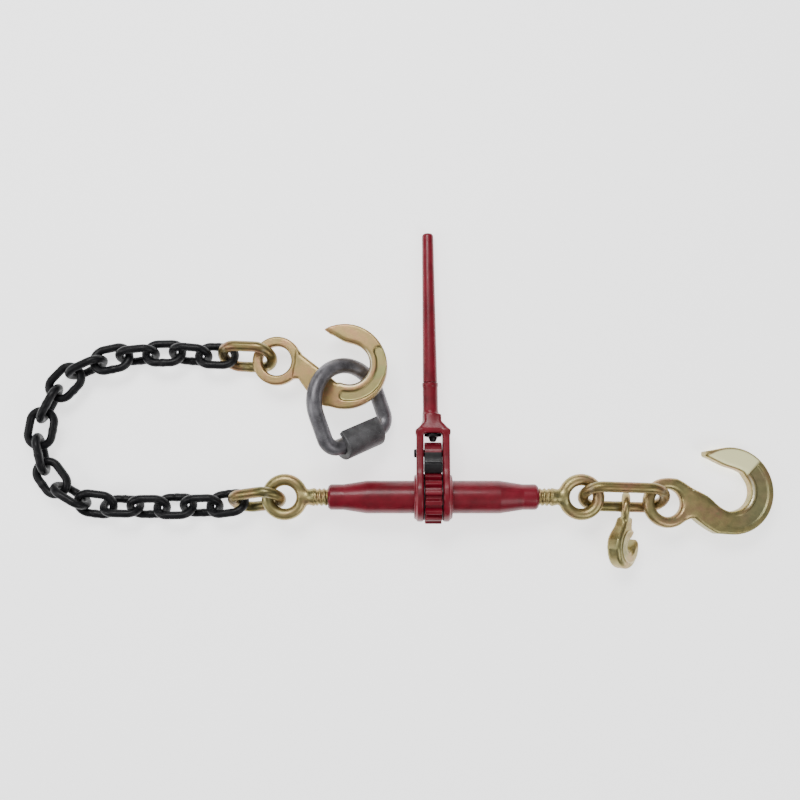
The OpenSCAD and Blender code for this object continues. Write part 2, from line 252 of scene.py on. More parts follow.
def skin(distance, low, high, step):
    """Points and quads of the surface where distance(x, y, z) is 0."""
    axes = [np.arange(l, h + step, step) for l, h in zip(low, high)]
    x, y, z = axes[0][:, None, None], axes[1][None, :, None], axes[2][None, None, :]
    f = np.broadcast_to(distance(x, y, z), tuple(len(a) for a in axes)).astype(np.float32)
    inside = f < 0
    count = sum(inside[i:i + f.shape[0] - 1, j:j + f.shape[1] - 1, k:k + f.shape[2] - 1].astype(np.int8)
                for i, j, k in CORNERS)
    cells = np.nonzero((count > 0) & (count < 8))
    index = np.full(count.shape, -1)
    index[cells] = np.arange(len(cells[0]))
    value = [f[cells[0] + i, cells[1] + j, cells[2] + k] for i, j, k in CORNERS]
    total = np.zeros((len(cells[0]), 3))
    hits = np.zeros(len(cells[0]))
    for a, b in EDGES:
        crossing = (value[a] < 0) != (value[b] < 0)
        t = value[a][crossing] / (value[a][crossing] - value[b][crossing])
        pa, pb = np.array(CORNERS[a], float), np.array(CORNERS[b], float)
        total[crossing] += pa + t[:, None] * (pb - pa)
        hits[crossing] += 1
    points = np.array(low) + step * (np.stack(cells, -1) + total / hits[:, None])
    faces = []
    for axis in range(3):
        u, v = (axis + 1) % 3, (axis + 2) % 3
        first = [slice(1, -1)] * 3
        second = [slice(1, -1)] * 3
        first[axis], second[axis] = slice(0, -1), slice(1, None)
        a, b = inside[tuple(first)], inside[tuple(second)]
        where = list(np.nonzero(a != b))
        grow = a[tuple(where)]
        base = [w + (0 if n == axis else 1) for n, w in enumerate(where)]
        quad = []
        for du, dv in ((-1, -1), (0, -1), (0, 0), (-1, 0)):
            at = list(base)
            at[u], at[v] = base[u] + du, base[v] + dv
            quad.append(index[tuple(at)])
        quad = np.stack(quad, -1)
        quad[~grow] = quad[~grow][:, ::-1]
        faces.append(quad)
    return settle(points, f, low, step), np.concatenate(faces)


def settle(points, f, low, step):
    """Moves each point onto the surface, so that the grid doesn't show in the shading."""
    top = np.array(f.shape) - 2
    for _ in range(3):
        g = (points - np.array(low)) / step
        i = np.clip(np.floor(g).astype(int), 0, top)
        t = g - i
        c = [f[i[:, 0] + a, i[:, 1] + b, i[:, 2] + d].astype(float) for a, b, d in CORNERS]
        wx, wy, wz = t.T
        pick = [(wx if a else 1 - wx, wy if b else 1 - wy, wz if d else 1 - wz) for a, b, d in CORNERS]
        here = sum(v * p[0] * p[1] * p[2] for v, p in zip(c, pick))
        slope = np.stack([
            sum(v * (1 if k[0] else -1) * p[1] * p[2] for v, k, p in zip(c, CORNERS, pick)),
            sum(v * (1 if k[1] else -1) * p[0] * p[2] for v, k, p in zip(c, CORNERS, pick)),
            sum(v * (1 if k[2] else -1) * p[0] * p[1] for v, k, p in zip(c, CORNERS, pick)),
        ], -1)
        size = np.maximum((slope ** 2).sum(1), 0.05)
        points = points - step * slope * (np.clip(here, -step, step) / size)[:, None]
    return points


# ---------------------------------------------------------------- materials
class Shader:
    """A Principled material and the few node kinds that it is built from."""

    def __init__(self, name, **sockets):
        self.material = bpy.data.materials.new(name)
        self.material.use_nodes = True
        self.tree = self.material.node_tree
        self.bsdf = self.tree.nodes["Principled BSDF"]
        for key, value in sockets.items():
            self.bsdf.inputs[key.replace("_", " ")].default_value = value
        self.place = self.tree.nodes.new("ShaderNodeTexCoord").outputs["Object"]

    def put(self, value, socket):
        """Links another node's output, or sets a plain value."""
        if hasattr(value, "is_linked"):
            self.tree.links.new(value, socket)
        else:
            socket.default_value = value

    def noise(self, scale, detail=4, roughness=0.55, stretch=(1, 1, 1), seed=0.0):
        """Fine grain that stays put on the object. seed moves it to another patch."""
        mapping = self.tree.nodes.new("ShaderNodeMapping")
        mapping.inputs["Scale"].default_value = stretch
        mapping.inputs["Location"].default_value = (seed, seed * 0.7, -seed)
        self.put(self.place, mapping.inputs["Vector"])
        node = self.tree.nodes.new("ShaderNodeTexNoise")
        node.inputs["Scale"].default_value = scale
        node.inputs["Detail"].default_value = detail
        node.inputs["Roughness"].default_value = roughness
        self.put(mapping.outputs["Vector"], node.inputs["Vector"])
        return node.outputs["Fac"]

    def ramp(self, value, stops):
        """Colours between stops of (position, colour)."""
        node = self.tree.nodes.new("ShaderNodeValToRGB")
        elements = node.color_ramp.elements
        while len(elements) < len(stops):
            elements.new(0.5)
        for element, (at, colour) in zip(elements, stops):
            element.position = at
            element.color = (*colour, 1) if len(colour) == 3 else colour
        self.put(value, node.inputs["Fac"])
        return node.outputs["Color"]

    def span(self, value, low, high, to_low, to_high):
        """A value from one range laid over another."""
        node = self.tree.nodes.new("ShaderNodeMapRange")
        for name, v in zip(("Value", "From Min", "From Max", "To Min", "To Max"),
                           (value, low, high, to_low, to_high)):
            self.put(v, node.inputs[name])
        return node.outputs["Result"]

    def mix(self, factor, a, b):
        """Colour a at factor 0, colour b at factor 1."""
        node = self.tree.nodes.new("ShaderNodeMix")
        node.data_type = "RGBA"
        for i, v in ((0, factor), (6, a), (7, b)):
            if not hasattr(v, "is_linked") and i > 0:
                v = (*v, 1)
            self.put(v, node.inputs[i])
        return node.outputs[2]

    def mark(self, channel):
        """One channel of the marks painted on the mesh: 0 the painted highlight on the big hook's tip face,
        and the red upper half of the pawl; 1 recess; 2 worn edge, and pale bands on the hooks' throats and
        the lever's hubs, which on the big hook and on the hubs are a painted highlight.
        """
        node = self.tree.nodes.new("ShaderNodeAttribute")
        node.attribute_name = "marks"
        parts = self.tree.nodes.new("ShaderNodeSeparateColor")
        self.put(node.outputs["Color"], parts.inputs["Color"])
        return parts.outputs[channel]

    def colour(self, value):
        self.put(value, self.bsdf.inputs["Base Color"])

    def roughness(self, value):
        self.put(value, self.bsdf.inputs["Roughness"])

    def bump(self, height, strength, distance):
        node = self.tree.nodes.new("ShaderNodeBump")
        node.inputs["Strength"].default_value = strength
        node.inputs["Distance"].default_value = distance
        self.put(height, node.inputs["Height"])
        self.put(node.outputs["Normal"], self.bsdf.inputs["Normal"])


def zinc(name, cast, tip_highlight, overall, recess):
    """Yellow-passivated zinc: gold and olive with patches of pink and green, a little dull, with a pale
    painted highlight where mark 0 is set, and a pale colour where mark 2 is set, for worn edges and for a
    painted highlight.
    """
    s = Shader(name, Metallic=0.95)
    tint = s.ramp(s.noise(38, 3, 0.6, seed=cast), [
        (0.30, (0.17, 0.16, 0.04)), (0.44, (0.34, 0.26, 0.07)), (0.54, (0.44, 0.27, 0.09)),
        (0.64, (0.46, 0.19, 0.10)), (0.74, (0.24, 0.29, 0.09)),
    ])
    base = s.mix(0.5, tint, overall)
    base = s.mix(s.span(s.noise(420, 4, 0.65), 0.35, 0.7, 0.0, 0.35), base, (0.22, 0.19, 0.09))
    base = s.mix(s.span(s.mark(1), 0, 1, 0, 0.5), base, recess)
    # Painted highlight: the pale colour of the big hook's tip face.
    base = s.mix(s.mark(0), base, tip_highlight)
    # Pale colour on worn edges, and a painted highlight along the big hook's throat.
    base = s.mix(s.mark(2), base, (0.80, 0.74, 0.52))
    s.colour(base)
    # Metallic drops where the tip highlight is painted, so that it reads pale.
    s.put(s.span(s.mark(0), 0, 1, 0.95, 0.1), s.bsdf.inputs["Metallic"])
    s.roughness(s.span(s.noise(160, 3), 0.3, 0.7, 0.32, 0.5))
    s.bump(s.noise(700, 5, 0.6), 0.22, 0.0004)
    return s.material


def red_paint():
    """Gloss powder coat: a faint orange peel, dirt that darkens it here and there, and a lighter red painted
    highlight where mark 2 is set.
    """
    s = Shader("red_powder_coat", Metallic=0.0, Coat_Weight=0.15, Coat_Roughness=0.2, Specular_IOR_Level=0.3)
    base = s.ramp(s.noise(55, 4, 0.6), [(0.3, (0.11, 0.002, 0.008)), (0.5, (0.16, 0.003, 0.012)),
                                        (0.72, (0.20, 0.005, 0.018))])
    grime = s.span(s.noise(900, 3, 0.7), 0.62, 0.74, 0.0, 0.35)
    base = s.mix(grime, base, (0.09, 0.008, 0.014))
    # Painted highlight: lighter red where mark 2 is set, on the lever's hub rims.
    base = s.mix(s.mark(2), base, (0.46, 0.09, 0.11))
    s.colour(base)
    s.roughness(s.span(s.noise(120, 3), 0.3, 0.7, 0.30, 0.44))
    s.bump(s.noise(520, 3, 0.5), 0.25, 0.0003)
    return s.material


def black_paint(name, low, high, coat):
    """Black lacquer or oxide over rolled steel, with dust and rubbed places."""
    s = Shader(name, Metallic=0.0, Coat_Weight=coat, Coat_Roughness=0.14, Specular_IOR_Level=0.2)
    base = s.ramp(s.noise(90, 5, 0.65), [(0.35, (0.002, 0.002, 0.003)), (0.6, (0.005, 0.005, 0.006)),
                                         (0.78, (0.018, 0.018, 0.018))])
    s.colour(s.mix(s.mark(2), base, (0.10, 0.10, 0.10)))
    s.roughness(s.span(s.noise(210, 4), 0.3, 0.7, low, high))
    s.bump(s.noise(600, 5, 0.65), 0.35, 0.0005)
    return s.material


def pawl_finish():
    """Black below, where the pawl meets the wheel, and red on its upper half."""
    s = Shader("pawl_two_tone", Metallic=0.0, Coat_Weight=0.2, Coat_Roughness=0.2, Specular_IOR_Level=0.4)
    black = s.ramp(s.noise(90, 5, 0.65), [(0.35, (0.004, 0.004, 0.005)), (0.78, (0.02, 0.02, 0.02))])
    red = s.ramp(s.noise(55, 4, 0.6), [(0.3, (0.11, 0.002, 0.008)), (0.72, (0.20, 0.005, 0.018))])
    s.colour(s.mix(s.mark(0), black, red))
    s.roughness(s.span(s.noise(210, 4), 0.3, 0.7, 0.32, 0.48))
    s.bump(s.noise(600, 4, 0.6), 0.3, 0.0004)
    return s.material


def gunmetal(name, tone, low, high):
    """Bare dark forging: blue-purple scale, brushed and speckled."""
    s = Shader(name, Metallic=0.7)
    dark, light = tuple(c * 0.55 for c in tone), tuple(c * 1.3 for c in tone)
    base = s.ramp(s.noise(70, 5, 0.6), [(0.32, dark), (0.55, tone), (0.75, light)])
    speck = s.span(s.noise(900, 2, 0.6), 0.60, 0.72, 0.0, 0.4)
    base = s.mix(speck, base, tuple(c * 2.2 for c in tone))
    s.colour(s.mix(s.mark(2), base, tuple(min(1, c * 3) for c in tone)))
    s.roughness(s.span(s.noise(140, 4), 0.3, 0.7, low, high))
    s.bump(s.noise(450, 5, 0.7), 0.3, 0.0005)
    return s.material


def bare_steel():
    """Turned steel with fine rings and a little oil stain."""
    s = Shader("turned_steel", Metallic=1.0)
    s.colour(s.ramp(s.noise(60, 4), [(0.3, (0.30, 0.29, 0.27)), (0.7, (0.58, 0.57, 0.55))]))
    s.roughness(s.span(s.noise(300, 3, stretch=(6, 1, 1)), 0.3, 0.7, 0.22, 0.4))
    s.bump(s.noise(900, 3, stretch=(8, 1, 1)), 0.2, 0.0002)
    return s.material


# Colour of the painted highlight on the big hook's tip face.
TIP_HIGHLIGHT = (1.0, 0.97, 0.52)
ZINC = zinc("yellow_zinc", 0.0, TIP_HIGHLIGHT, (0.36, 0.33, 0.18), (0.33, 0.33, 0.18))
ZINC_LINK = zinc("yellow_zinc_link", 1.7, TIP_HIGHLIGHT, (0.09, 0.082, 0.06), (0.16, 0.15, 0.09))
ZINC_PINK = zinc("yellow_zinc_pink", 3.1, TIP_HIGHLIGHT, (0.40, 0.28, 0.15), (0.30, 0.32, 0.13))
RED = red_paint()
CHAIN = black_paint("black_chain_lacquer", 0.36, 0.54, 0.06)
OXIDE = black_paint("black_oxide", 0.34, 0.5, 0.2)
PAWL = pawl_finish()
IRON = gunmetal("ring_scale", (0.15, 0.145, 0.155), 0.34, 0.5)
IRON_MATT = gunmetal("clip_scale", (0.13, 0.13, 0.133), 0.5, 0.66)
STEEL = bare_steel()


# ---------------------------------------------------------------- links, chain and ring
def oval_path(inside, width, rod, legs=18, bend=20):
    """Centre line of a link of round rod in the XY plane, long way along X, starting on its -Y leg."""
    r = (width - rod) / 2
    half = inside / 2 + rod / 2 - r
    a = np.linspace(0, math.pi, bend + 1)
    x = np.concatenate([np.linspace(-half, half, legs, endpoint=False), half + r * np.sin(a[:-1]),
                        np.linspace(half, -half, legs, endpoint=False), -half - r * np.sin(a[:-1])])
    y = np.concatenate([np.full(legs, -r), -r * np.cos(a[:-1]), np.full(legs, r), r * np.cos(a[:-1])])
    return np.stack([x, y, np.zeros_like(x)], 1)


def link(node, size, material, bead, wear_and_highlight):
    """A welded link on its CAD solid. bead is the weld's swelling, worn the rubbing inside its ends."""
    inside, width, rod = size
    centre, rotation = link_frame(node)
    path = oval_path(inside, width, rod)
    weld = np.exp(-(path[:, 0] / (rod * 0.22)) ** 2) * (path[:, 1] < 0)
    waist = np.exp(-((np.abs(path[:, 0]) - rod * 0.5) / (rod * 0.2)) ** 2) * (path[:, 1] < 0)
    radius = rod / 2 * (1 + bead * weld - 0.35 * bead * waist)
    points, faces = tube(path, radius)
    marks = np.zeros((len(points), 3), np.float32)
    reach = np.abs(points[:, 0]) - inside / 2
    marks[:, 2] = wear_and_highlight * ramp(-np.abs(reach - 0.6), -2.2, 0.4)
    marks[:, 1] = np.repeat(waist, ROD_SIDES)
    points = placed(points, centre, rotation)
    new_piece(node + "_rod", points, faces, node, material, [node], marks)


for number in range(1, CHAIN_COUNT + 1):
    link(f"chain_link_{number:02d}", CHAIN_LINK, CHAIN, 0.07, 0.05)
for node, size in (("link_left", SHORT_LINK), ("link_upper", SHORT_LINK), ("link_long", LONG_LINK)):
    link(node, size, ZINC_LINK, 0.03, 0.3)


def ring_path():
    """Centre line of the ring: half a circle, two legs, and a straight side between two corners."""
    drop, flat = RING_H - RING_CORNER, RING_BOW - RING_CORNER
    bow = np.linspace(0, math.pi, 56, endpoint=False)
    corner = np.linspace(0, math.pi / 2, 14, endpoint=False)
    leg = np.linspace(0, drop, 12, endpoint=False)
    side = np.linspace(-flat, flat, 20, endpoint=False)
    across = [RING_BOW * np.cos(bow), np.full_like(leg, -RING_BOW), -flat - RING_CORNER * np.cos(corner),
              side, flat + RING_CORNER * np.sin(corner), np.full_like(leg, RING_BOW)]
    along = [RING_BOW * np.sin(bow), -leg, -drop - RING_CORNER * np.sin(corner),
             np.full_like(side, -RING_H), -RING_H + RING_CORNER * (1 - np.cos(corner)), leg - drop]
    across, along = np.concatenate(across), np.concatenate(along)
    return np.stack([across, along, np.zeros_like(across)], 1)


ring_turn = turn(*RING_TILT)
points, faces = tube(ring_path(), RING_ROD / 2, 40)
new_piece("lashing_ring_rod", placed(points, RING_ORIGIN, ring_turn), faces, "lashing_ring", IRON,
          ["lashing_ring"])


def clip_solid(x, y, z):
    """Local X along the ring's straight side; the bent plate opens towards +Y."""
    def stadium(r, foot):
        straight = polygon(y, z, [(0, -r), (foot, -r), (foot, r), (0, r)])
        return join(disc(y, z, (0, 0), r), straight, 0.5)

    inner = RING_ROD / 2 + 0.4
    full = np.maximum(stadium(inner + CLIP_WALL, CLIP_FOOT), y - CLIP_FOOT)
    hollow = stadium(inner, CLIP_FOOT + 6)
    return plate(cut(full, hollow, 1.2), x, CLIP_L / 2, 1.1)


points, faces = skin(clip_solid, (-27, -18, -18), (27, 14, 18), 0.6)
clip_turn = ring_turn @ turn(CLIP_ROLL, 0, 0)
clip_at = placed([(0, -RING_H, 0)], RING_ORIGIN, ring_turn)[0]
new_piece("ring_clip_plate", placed(points, clip_at, clip_turn), faces, "ring_clip", IRON_MATT,
          ["ring_clip"])


# ---------------------------------------------------------------- hooks
def around(x, y, centre):
    """Distance and bearing of a point from a centre."""
    return np.hypot(x - centre[0], y - centre[1]), np.degrees(np.arctan2(y - centre[1], x - centre[0]))


def big_hook(x, y, z):
    """Eye at the origin, bowl along +X, opening towards +Y, with a sunk panel round the bowl."""
    thick, eye_thick, eye_r, hole_r = 17.0, 13.0, 28.0, 15.5
    shank = polygon(x, y, [(8, 22), (16.5, 22.6), (69.9, -18.2), (80, -30), (49.1, -40.3),
                           (26.6, -21.8), (18, -20)])
    tip = polygon(x, y, [(54.5, 43.8), (55.5, 48.8), (67.4, 48.5), (76, 30)])
    gap = polygon(x, y, [(91.5, 16.4), (44, 51.3), (24, 62), (5, 36), (16.5, 23.0), (69.9, -18.2), (82, -4)])
    void = join(gap, disc(x, y, BIG_THROAT, HOOK_THROAT_R), 9)
    body = cut(join(join(disc(x, y, BIG_BOWL, BIG_BOWL_R), shank, 12), tip, 3), void, 1.5)
    body = join(body, disc(x, y, (58, 45.6), 2.6), 3)
    body = cut(join(body, disc(x, y, (0, 0), eye_r), 8), disc(x, y, (0, 0), hole_r), 0.5)
    turned, angle = around(x, y, BIG_THROAT)
    panel = np.maximum(np.maximum(27.5 - turned, disc(x, y, BIG_BOWL, BIG_BOWL_R - 6.5)), angle - 33)
    panel = np.maximum(panel, -angle - 118)
    near = np.clip(void, 0, 7) / 7
    half = thick / 2 - 1.5 * ramp(-panel, -0.4, 1.6) * ramp(angle, -118, -45) - 1.8 * (1 - near) ** 2
    half = half + (eye_thick / 2 - half) * ramp(-x, -34, -14)
    return plate(body, z, half, 2.6 + 2.6 * (1 - ramp(np.hypot(x, y), 24, 44)))


def big_hook_marks(points):
    """Painted highlight on the face by the tip, darker panel, painted highlight along the throat's edge."""
    x, y, z = points.T
    turned, angle = around(x, y, BIG_THROAT)
    edge = np.hypot(x - BIG_BOWL[0], y)
    front = ramp(np.abs(z), 6.4, 7.8)
    marks = np.zeros((len(points), 3), np.float32)
    # Painted highlight: a pale face by the tip.
    marks[:, 0] = ramp(angle, 32, 38) * ramp(-edge, -48.3, -46) * front * (y > 8)
    recess = ramp(angle, -118, -60) * ramp(-angle, -35, -31)
    marks[:, 1] = recess * ramp(turned, 26.5, 29) * ramp(-edge, -44, -42)
    # Painted highlight: a pale band along the throat's lower edge.
    wear_and_highlight = 0.75 * ramp(-np.abs(turned - 25.0), -1.6, -0.3)
    marks[:, 2] = wear_and_highlight * ramp(angle, -75, -45) * ramp(-angle, -40, -10)
    return marks


def end_groove(turned, angle):
    """Signed distance to the round-ended groove along the end hook's bowl."""
    groove_r, half_length, half_width, middle = 36, 38.4, 5.6, -33
    along = np.abs(angle - middle) * math.pi / 180 * groove_r
    return np.hypot(turned - groove_r, np.maximum(along - half_length, 0)) - half_width


def end_hook(x, y, z):
    """Like the big hook, with a flat ring for an eye that stands a step below the shank."""
    thick, eye_thick, eye_r, hole_r = 14.0, 11.5, 27.5, 16.6
    shank = polygon(x, y, [(21, 16), (27.3, 9.9), (53.6, -7), (72, -18), (57.8, -42.9), (36.5, -26.7),
                           (26.7, -17.7), (19, -19)])
    tip = polygon(x, y, [(53, 38), (62, 43), (82, 30)])
    gap = polygon(x, y, [(89.6, 20.3), (46, 41.4), (30, 50), (20, 30), (27.3, 9.9), (53.6, -7),
                         (70, -17.5), (86, -4)])
    void = join(gap, disc(x, y, END_THROAT, HOOK_THROAT_R), 6)
    body = cut(join(join(disc(x, y, END_BOWL, END_BOWL_R), shank, 10), tip, 3), void, 1.5)
    body = join(body, disc(x, y, (58.5, 39.2), 3.6), 2)
    body = cut(body, disc(x, y, (0, 0), hole_r + 3), 2)
    groove = end_groove(*around(x, y, END_THROAT))
    near = np.clip(void, 0, 5) / 5
    half = thick / 2 - 1.6 * ramp(-groove, -0.6, 1.2) - 1.6 * (1 - near) ** 2
    half = half - 1.5 * (1 - ramp(x + 0.35 * np.abs(y), 20.5, 22.0))
    solid = plate(body, z, half, 2.4)
    eye = np.maximum(disc(x, y, (0, 0), eye_r), hole_r - np.hypot(x, y))
    return join(solid, plate(eye, z, eye_thick / 2, 2.6), 0.8)


def end_hook_marks(points):
    """Greener groove, and a pale band along the throat's edge."""
    turned, angle = around(points[:, 0], points[:, 1], END_THROAT)
    marks = np.zeros((len(points), 3), np.float32)
    marks[:, 1] = ramp(-end_groove(turned, angle), -1.0, 0.6)
    # A pale band along the throat's edge.
    wear_and_highlight = 0.8 * ramp(-np.abs(turned - 24.6), -1.6, -0.3)
    marks[:, 2] = wear_and_highlight * ramp(angle, -140, -110) * ramp(-angle, -60, -20)
    return marks


def grab_hook(x, y, z):
    """A twisted round eye, and a thick hook whose narrow slot slants back towards the eye."""
    eye_r, rod_r, bowl_r = 13.0, 4.5, 23.0
    slot_at, slot_lean, slot_half = (43, 2), math.radians(132), 5.5
    twist = math.radians(-GRAB_TWIST)
    ty, tz = y * math.cos(twist) - z * math.sin(twist), y * math.sin(twist) + z * math.cos(twist)
    eye = np.hypot(np.hypot(x, ty) - eye_r, tz) - rod_r
    shank = polygon(x, y, [(12, -9), (12, 9), (22, 7), (33, 2), (46, 10), (46, -24), (36, -24), (22, -14)])
    dx, dy = x - slot_at[0], y - slot_at[1]
    along = dx * math.cos(slot_lean) + dy * math.sin(slot_lean)
    across = -dx * math.sin(slot_lean) + dy * math.cos(slot_lean)
    slot = np.maximum(np.abs(across) - slot_half, np.maximum(-along, along - 40))
    slot = join(slot, disc(x, y, slot_at, slot_half + 0.5), 0.5)
    flat = cut(join(disc(x, y, (46, -2), bowl_r), shank, 6), slot, 1.5)
    flat = cut(flat, disc(x, y, (0, 0), eye_r), 2)
    half = 9.25 - 1.8 * (1 - ramp(x, 14, 36))
    half = half - 0.9 * ramp(np.abs(disc(x, y, (44, 0), 14.5)) - 3.5, 0.0, 2.2)
    return join(plate(flat, z, half, 4.2), eye, 4)


def grab_hook_marks(points):
    """Rubbed ridge round both faces."""
    x, y, z = points.T
    marks = np.zeros((len(points), 3), np.float32)
    marks[:, 2] = 0.35 * ramp(-np.abs(np.hypot(x - 44, y) - 17.6), -1.2, 0.2) * (np.abs(z) > 6.5)
    return marks


def forged(node, solid, marking, place, low, high, step, material):
    """A hook's skin, worked out between two corners of its own frame."""
    points, faces = skin(solid, low, high, step)
    marks = marking(points)
    points = placed(points, place[0], turn(*place[1]))
    new_piece(node + "_forging", points, faces, node, material, [node], marks)


forged("hook_big", big_hook, big_hook_marks, BIG_HOOK, (-30, -54, -10), (127, 54, 10), 0.7, ZINC)
forged("hook_end", end_hook, end_hook_marks, END_HOOK, (-30, -53, -9), (127, 52, 9), 0.7, ZINC_PINK)
forged("hook_grab", grab_hook, grab_hook_marks, GRAB_HOOK, (-19, -29, -14), (72, 24, 14), 0.55, ZINC)


# ---------------------------------------------------------------- eye bolts
def eye_solid(x, y, z):
    """The eye and the tapered neck that runs into the screw, along local X."""
    ring = np.hypot(np.hypot(x - EYE_REACH, y) - EYE_R, z) - EYE_ROD
    across = np.hypot(y, z)
    neck_r = SCREW_R - 3.6 * ramp(x, EYE_REACH - 33, EYE_REACH - 20)
    neck = np.maximum(across - neck_r, np.maximum(x - (EYE_REACH - 17.5), 133.0 - x))
    collar = np.maximum(across - SCREW_R, np.abs(x - 133.6) - 0.8)
    return join(join(ring, neck, 5), collar, 0.6)


def thread(start, end, hand, depth=1.5, sides=56, step=0.5):
    """A screw along X whose crests and roots are slightly flat."""
    x = np.arange(start, end + step, step)
    a = np.linspace(0, 2 * math.pi, sides, endpoint=False)
    phase = np.mod(x[:, None] / THREAD_LEAD - hand * a[None, :] / (2 * math.pi), 1.0)
    wave = np.clip(np.abs(phase * 2 - 1) * 1.5 - 0.2, 0, 1)
    fade = np.clip((x - start) / 3, 0, 1) * np.clip((end - x) / 2.5, 0, 1)
    chamfer = 1.2 * (1 - np.clip((x - start) / 1.5, 0, 1))
    r = SCREW_R - 0.12 - depth * (1 - wave) * fade[:, None] - chamfer[:, None]
    points = np.stack([np.repeat(x[:, None], sides, 1), r * np.cos(a), r * np.sin(a)], -1).reshape(-1, 3)
    faces = grid_faces(len(x), sides, False)[:, ::-1].tolist()
    n = len(x)
    return points, faces + [list(range(sides)), [(n - 1) * sides + k for k in range(sides)][::-1]]


for side, heading, hand in (("left", 180, 1), ("right", 0, -1)):
    body, screw = "eye_bolt_" + side, ["screw_" + side]
    way = turn(0, 0, heading)
    points, faces = skin(eye_solid, (131, -28, -12), (195, 28, 12), 0.6)
    new_piece("eye_" + side, placed(points, BINDER, way), faces, body, ZINC, screw)
    points, faces = thread(6.0, 134.0, hand)
    new_piece("thread_" + side, placed(points, BINDER, way), faces, body, ZINC, screw)
    low, high = -STOP_PIN_HALF, STOP_PIN_HALF
    points, faces = lathe(rounded([(0, low), (STOP_PIN_R, low), (STOP_PIN_R, high), (0, high)], 0.6), 32)
    points = placed(placed(points, (STOP_PIN_AT, 0, 0)), BINDER, way)
    new_piece("stop_pin_look_" + side, points, faces, body, STEEL, ["stop_pin_" + side])


# ---------------------------------------------------------------- barrel and wheel
end, end_r, mid_r = BARREL_L / 2, BARREL_END_D / 2, BARREL_D / 2
slim, thick = end - BARREL_SLIM, end - BARREL_SLIM - BARREL_CONE
bore, relief = SCREW_R + 0.15, SCREW_R + 2.2
inner = end - BARREL_THREADED
outline = [(bore, end - 1.6), (11.4, end), (relief, end), (end_r, end - 2.4), (end_r, slim), (mid_r, thick),
           (mid_r, -thick), (end_r, -slim), (end_r, 2.4 - end), (relief, -end), (11.4, -end),
           (bore, 1.6 - end), (bore, -inner), (relief, 1 - inner), (relief, inner - 1), (bore, inner),
           (bore, end - 1.6)]
points, faces = lathe(rounded(outline, 7.0), 112)
new_piece("barrel_tube", placed(along_x(points), BINDER), faces, "barrel", RED, ["barrel"])


def wheel_solid(x, y, z):
    """Ratchet wheel across local X, with a gap centred on +Y."""
    tip_r = WHEEL_D / 2
    root_r = tip_r - TOOTH_DEPTH
    flat = disc(y, z, (0, 0), tip_r)
    pitch = 2 * math.pi / TEETH
    across = np.hypot(y, z)
    a = np.mod(np.arctan2(z, y) + pitch / 2, pitch) - pitch / 2
    u, v = across * np.sin(a), across * np.cos(a)
    gap = polygon(u, v, [(-1.6, root_r), (1.6, root_r), (3.9, tip_r + 1), (-3.9, tip_r + 1)])
    flat = cut(flat, gap, 0.9)
    flat = np.maximum(flat, BARREL_D / 2 + 0.05 - across)
    return plate(flat, x, WHEEL_W / 2, 0.7)


lever_turn = turn(DROOP, 0, 0)
points, faces = skin(wheel_solid, (-10.5, -31.5, -31.5), (10.5, 31.5, 31.5), 0.5)
new_piece("ratchet_wheel_teeth", placed(points, BINDER, lever_turn), faces, "barrel", RED,
          ["ratchet_wheel"])


# ---------------------------------------------------------------- lever
def fork_solid(x, y, z):
    """Two arms with hub rings, the head that joins them, and the socket for the handle; handle along +Y."""
    across = np.abs(x)
    top = WINDOW_TOP
    hub = disc(y, z, (0, 0), HUB_R)
    strap = polygon(y, z, [(12, 20), (12, -20), (46, -15), (top + 4, -13), (top + 4, 13), (46, 15)])
    middle = (FORK_W + FORK_GAP) / 4
    arm_half = (FORK_W - FORK_GAP) / 4
    arm = plate(join(hub, strap, 10), across - middle, arm_half, 2.4)
    flange = plate(disc(y, z, (0, 0), HUB_R - 2.6), across - (FORK_W / 2 + 0.4), 2.3, 2.2)
    front = polygon(x, y, [(-FORK_W / 2, top), (FORK_W / 2, top), (FORK_W / 2, top + 4), (9.5, top + 14),
                           (9.3, top + 22), (-9.3, top + 22), (-9.5, top + 14), (-FORK_W / 2, top + 4)])
    side = polygon(z, y, [(-13, top - 1), (13, top - 1), (13, top + 6), (9.3, top + 20), (9.3, top + 23),
                          (-9.3, top + 23), (-9.3, top + 20), (-13, top + 6)])
    head = -join(-front, -side, 3.5)
    solid = join(join(arm, flange, 1.6), head, 4)
    lean = math.radians(HANDLE_LEAN)
    u = (x - HANDLE_X) * math.cos(lean) + y * math.sin(lean)
    v = -(x - HANDLE_X) * math.sin(lean) + y * math.cos(lean)
    off_axis = np.hypot(u, z)
    lip = 0.5 * ramp(v, SOCKET_END - 5, SOCKET_END - 3.4)
    socket = np.maximum(off_axis - 9.0 - lip + 0.4, np.maximum(top + 12 - v, v - SOCKET_END + 0.4))
    rim = np.hypot(np.maximum(off_axis - 8.5, 0), np.maximum(v - SOCKET_END + 0.6, 0)) - 0.6
    socket = np.where((off_axis > 8) & (v > SOCKET_END - 1), rim, socket)
    solid = join(solid, socket, 5)
    solid = np.maximum(solid, BARREL_D / 2 + 0.1 - np.hypot(y, z))
    pin = np.maximum(np.hypot(y - PAWL_REACH, z) - 4.0, across - 30)
    solid = cut(solid, pin, 0.4)
    solid = cut(solid, np.maximum(np.hypot(x, z) - 9.9, np.abs(y - top - 1.0) - 1.3), 0.4)
    solid = np.maximum(solid, -np.maximum(np.hypot(x, z) - 4.6, np.abs(y - top - 21) - 21))
    return np.maximum(solid, -np.maximum(off_axis - 6.0, np.abs(v - SOCKET_END) - 13))


points, faces = skin(fork_solid, (-23, -29.5, -29.5), (23, 131, 29.5), 0.65)
marks = np.zeros((len(points), 3), np.float32)
hub_edge = np.hypot(points[:, 1], points[:, 2])
